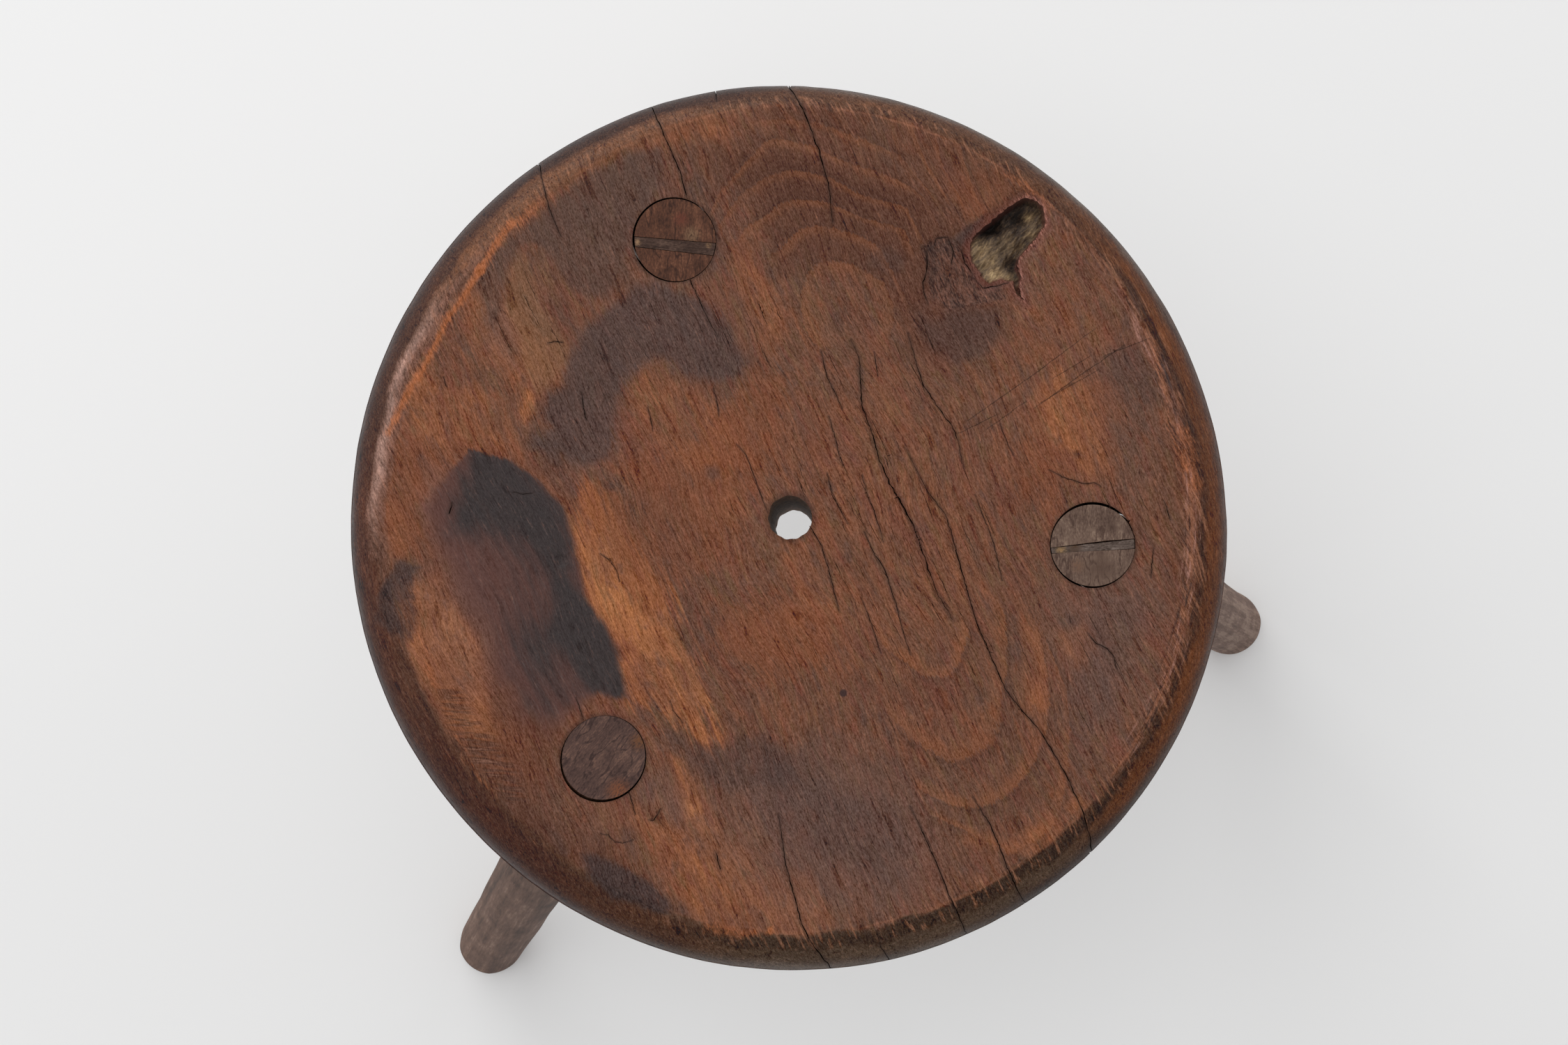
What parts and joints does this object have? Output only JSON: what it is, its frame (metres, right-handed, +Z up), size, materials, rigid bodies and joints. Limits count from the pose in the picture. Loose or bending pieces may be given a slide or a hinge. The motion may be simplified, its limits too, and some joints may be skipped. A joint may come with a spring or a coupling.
{
  "type": "tripod stool",
  "caption": "Low three-legged stool: an oval plank seat with rounded edges and a finger hole, on splayed round legs whose wedged tenons show through the seat.",
  "frame": {"origin": "on the floor, straight below the hole in the middle of the seat", "axes": "+Z up, +X towards the right leg, +Y towards the back leg"},
  "size_m": [0.3869, 0.4019, 0.43],
  "materials": {
    "seat_wood": "dark brown wood, waxed and worn, with burnt stains",
    "leg_wood": "grey brown weathered wood, matt",
    "wedge_wood": "dark grey brown wood, matt"
  },
  "bodies": {
    "root": {"seat": "seat_wood", "leg_back": "leg_wood", "leg_right": "leg_wood", "leg_left": "leg_wood", "wedge_back": "wedge_wood", "wedge_right": "wedge_wood"}
  },
  "joints": []
}
